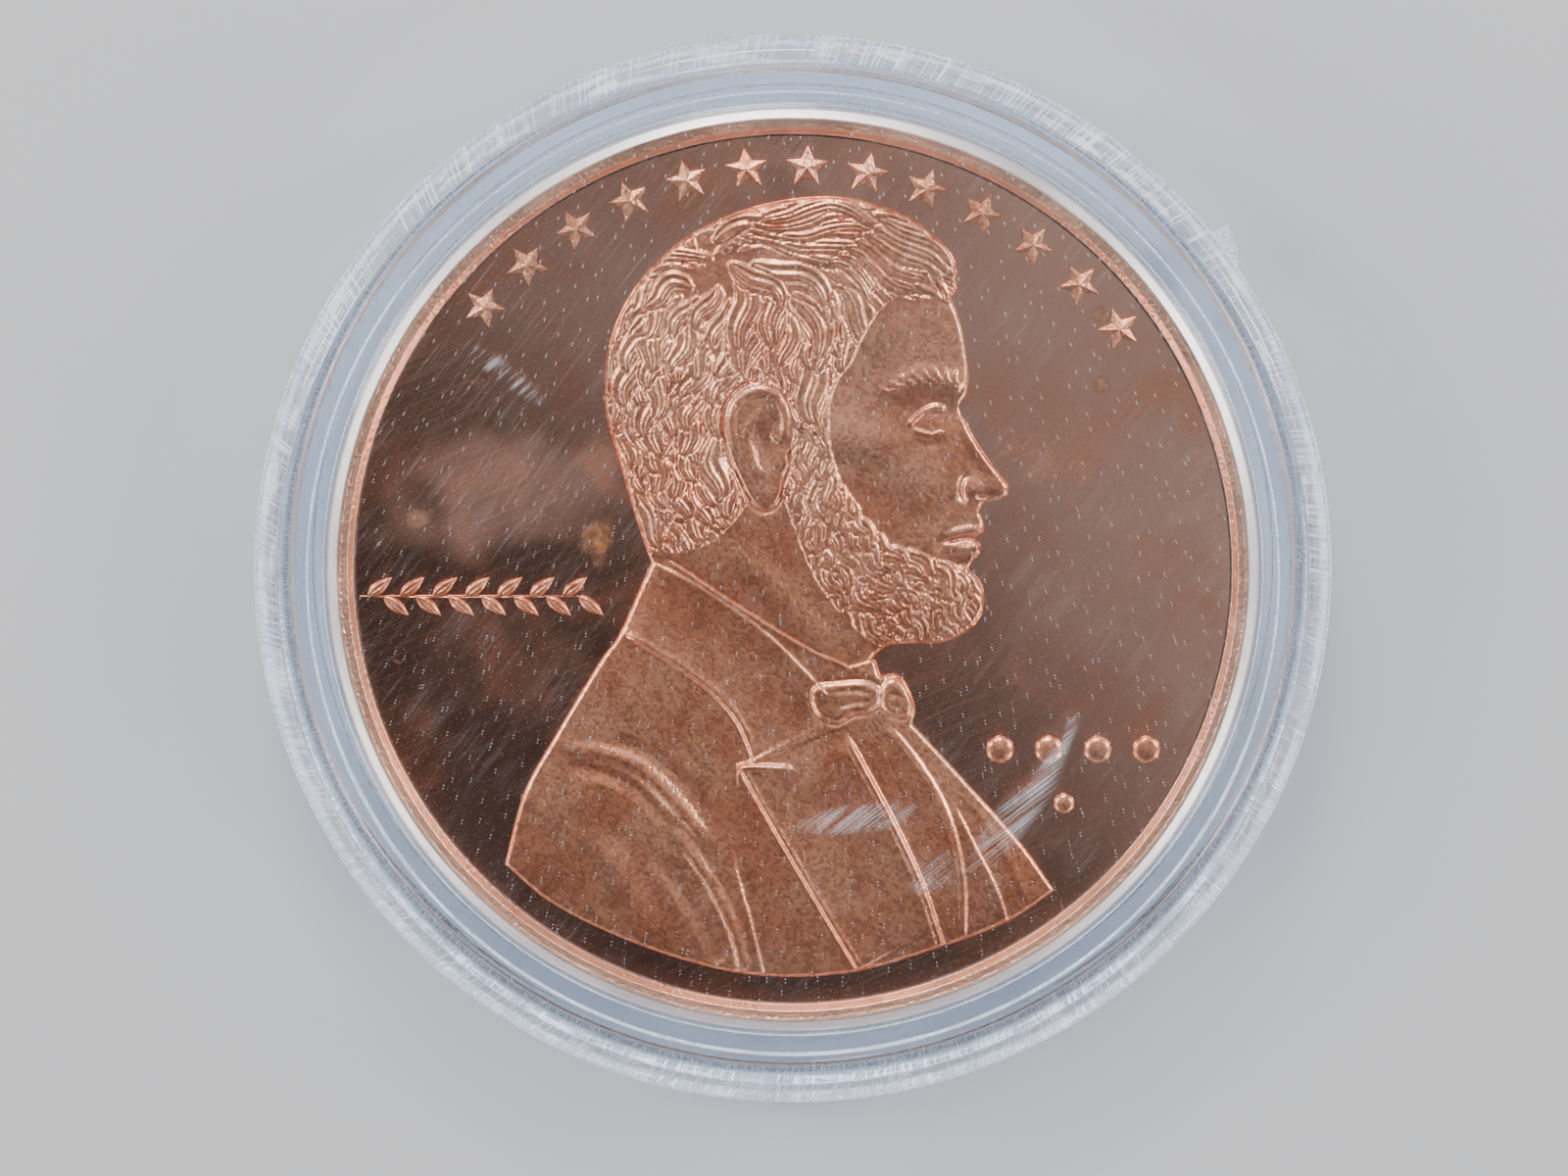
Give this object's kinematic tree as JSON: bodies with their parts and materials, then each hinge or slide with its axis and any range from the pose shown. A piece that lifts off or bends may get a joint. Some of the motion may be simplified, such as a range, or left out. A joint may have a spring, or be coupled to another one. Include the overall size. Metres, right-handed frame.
{
  "type": "coin capsule",
  "caption": "Round two-shell clear acrylic coin capsule with a plug-in lid, holding a large struck copper round with a raised portrait.",
  "frame": {"origin": "middle of the capsule's underside, on the coin's axis", "axes": "+Z from the base to the lid along the coin's axis, +Y to the top of the coin's portrait"},
  "size_m": [0.045, 0.045, 0.0065],
  "materials": {
    "clear_acrylic": "clear, polished windows, scuffed outer bevel",
    "struck_copper": "frosted relief on a mirror field, lightly toned copper"
  },
  "bodies": {
    "base": {"capsule_base": "clear_acrylic"},
    "lid": {"capsule_lid": "clear_acrylic"},
    "coin": {"coin": "struck_copper"}
  },
  "joints": [
    {"name": "lid_pull", "type": "slide", "parent": "base", "child": "lid", "axis": [0, 0, 1], "range_m": [0, 0.024]},
    {"name": "coin_lift", "type": "slide", "parent": "base", "child": "coin", "axis": [0, 0, 1], "range_m": [0, 0.012]}
  ],
  "couplings": [
    {"joint": "coin_lift", "follows": "lid_pull", "ratio": 0.5}
  ]
}
